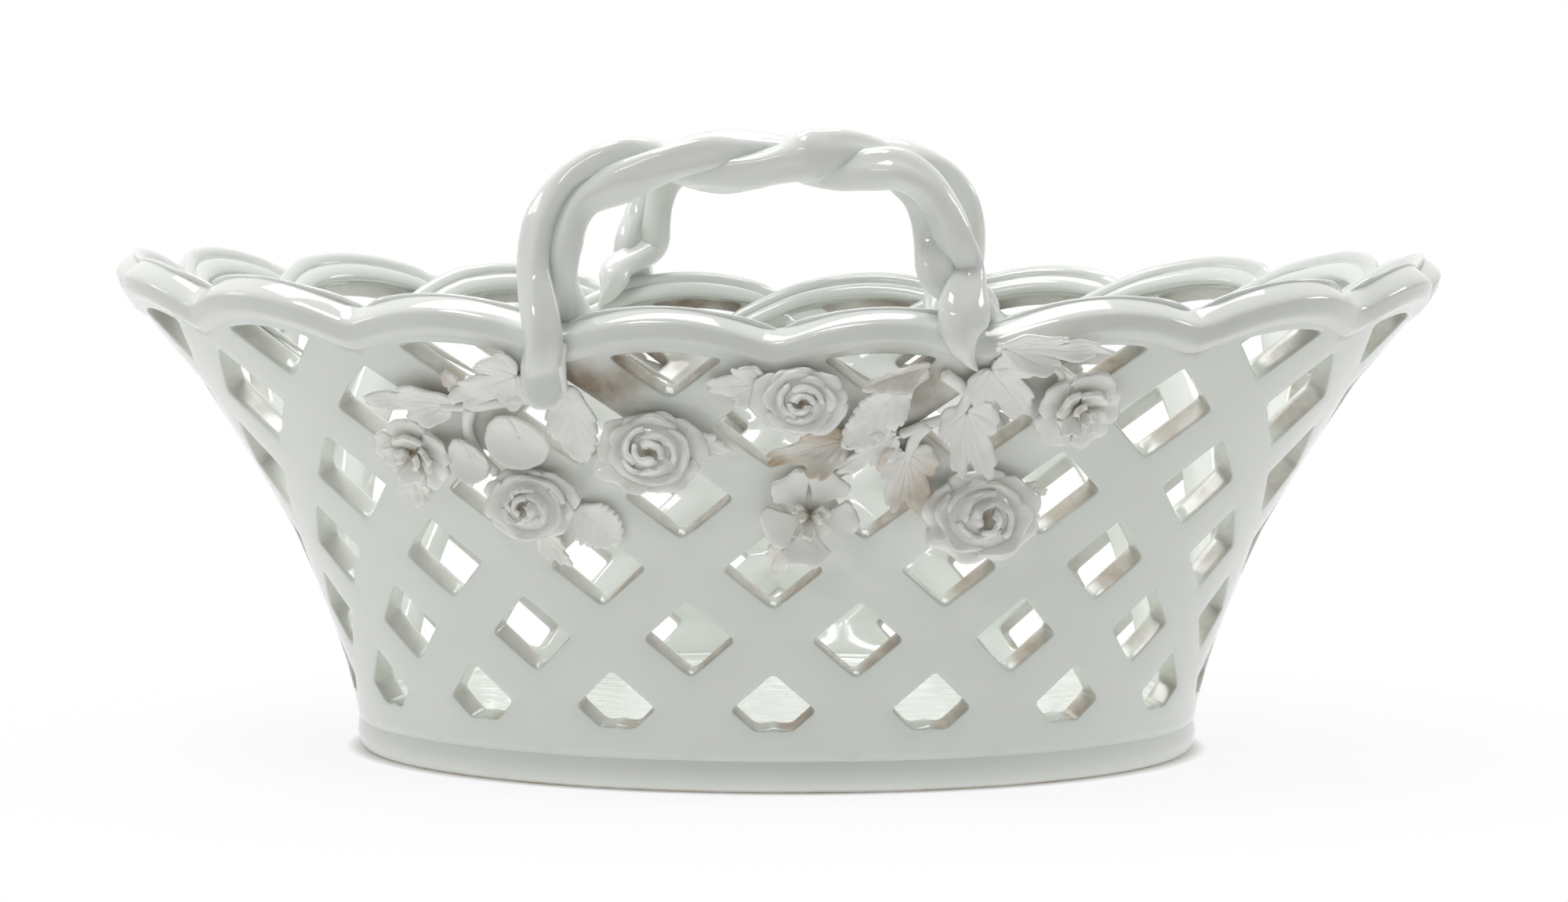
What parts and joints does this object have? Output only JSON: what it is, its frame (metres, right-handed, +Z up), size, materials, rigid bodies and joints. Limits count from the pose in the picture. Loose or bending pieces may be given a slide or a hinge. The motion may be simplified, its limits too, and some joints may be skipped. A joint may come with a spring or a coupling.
{
  "type": "reticulated porcelain basket",
  "caption": "Oval basket with a flared, pierced lattice wall on a low foot, scalloped rim, two twisted branch handles and applied roses and leaves",
  "frame": {"origin": "middle of the foot's underside, on the surface that the basket stands on", "axes": "+X along the oval's length, +Y from the front to the back, +Z up"},
  "size_m": [0.2798, 0.2236, 0.1308],
  "materials": {
    "glazed_porcelain": "clear glaze with a faint green-grey tint, glossy, pooled in the corners",
    "modelled_flowers": "thin satin glaze over hand-modelled petals and leaves, slightly warm"
  },
  "bodies": {
    "root": {"pierced_wall": "glazed_porcelain", "rim_bead": "glazed_porcelain", "foot_ring": "glazed_porcelain", "floor_plate": "glazed_porcelain", "front_handle_strand_outer": "glazed_porcelain", "front_handle_strand_inner": "glazed_porcelain", "front_rose_lower_left": "modelled_flowers", "front_rose_upper_left": "modelled_flowers", "front_rose_under_rim": "modelled_flowers", "front_rose_lower_right": "modelled_flowers", "front_rose_far_right": "modelled_flowers", "front_blossom_left": "modelled_flowers", "front_blossom_middle": "modelled_flowers", "front_round_petal_left": "modelled_flowers", "front_round_petal_far_left": "modelled_flowers", "front_leaf_beside_left_foot": "modelled_flowers", "front_leaf_far_left": "modelled_flowers", "front_leaf_hanging_left": "modelled_flowers", "front_leaf_by_lower_left_rose": "modelled_flowers", "front_leaf_under_rim": "modelled_flowers", "front_leaf_long_right": "modelled_flowers", "front_leaf_broad_right": "modelled_flowers", "front_leaf_curled_middle": "modelled_flowers", "front_leaf_middle_right": "modelled_flowers", "front_leaf_hanging_middle": "modelled_flowers", "front_leaf_over_lower_rose": "modelled_flowers", "front_leaf_behind_right_foot": "modelled_flowers", "front_leaf_over_rim": "modelled_flowers", "front_stem_left": "modelled_flowers", "front_stem_by_left_foot": "modelled_flowers", "front_stem_right": "modelled_flowers", "front_stem_far_right": "modelled_flowers", "back_handle_strand_outer": "glazed_porcelain", "back_handle_strand_inner": "glazed_porcelain", "back_rose_lower_left": "modelled_flowers", "back_rose_upper_left": "modelled_flowers", "back_rose_under_rim": "modelled_flowers", "back_rose_lower_right": "modelled_flowers", "back_rose_far_right": "modelled_flowers", "back_blossom_left": "modelled_flowers", "back_blossom_middle": "modelled_flowers", "back_round_petal_left": "modelled_flowers", "back_round_petal_far_left": "modelled_flowers", "back_leaf_beside_left_foot": "modelled_flowers", "back_leaf_far_left": "modelled_flowers", "back_leaf_hanging_left": "modelled_flowers", "back_leaf_by_lower_left_rose": "modelled_flowers", "back_leaf_under_rim": "modelled_flowers", "back_leaf_long_right": "modelled_flowers", "back_leaf_broad_right": "modelled_flowers", "back_leaf_curled_middle": "modelled_flowers", "back_leaf_middle_right": "modelled_flowers", "back_leaf_hanging_middle": "modelled_flowers", "back_leaf_over_lower_rose": "modelled_flowers", "back_leaf_behind_right_foot": "modelled_flowers", "back_leaf_over_rim": "modelled_flowers", "back_stem_left": "modelled_flowers", "back_stem_by_left_foot": "modelled_flowers", "back_stem_right": "modelled_flowers", "back_stem_far_right": "modelled_flowers"}
  },
  "joints": []
}
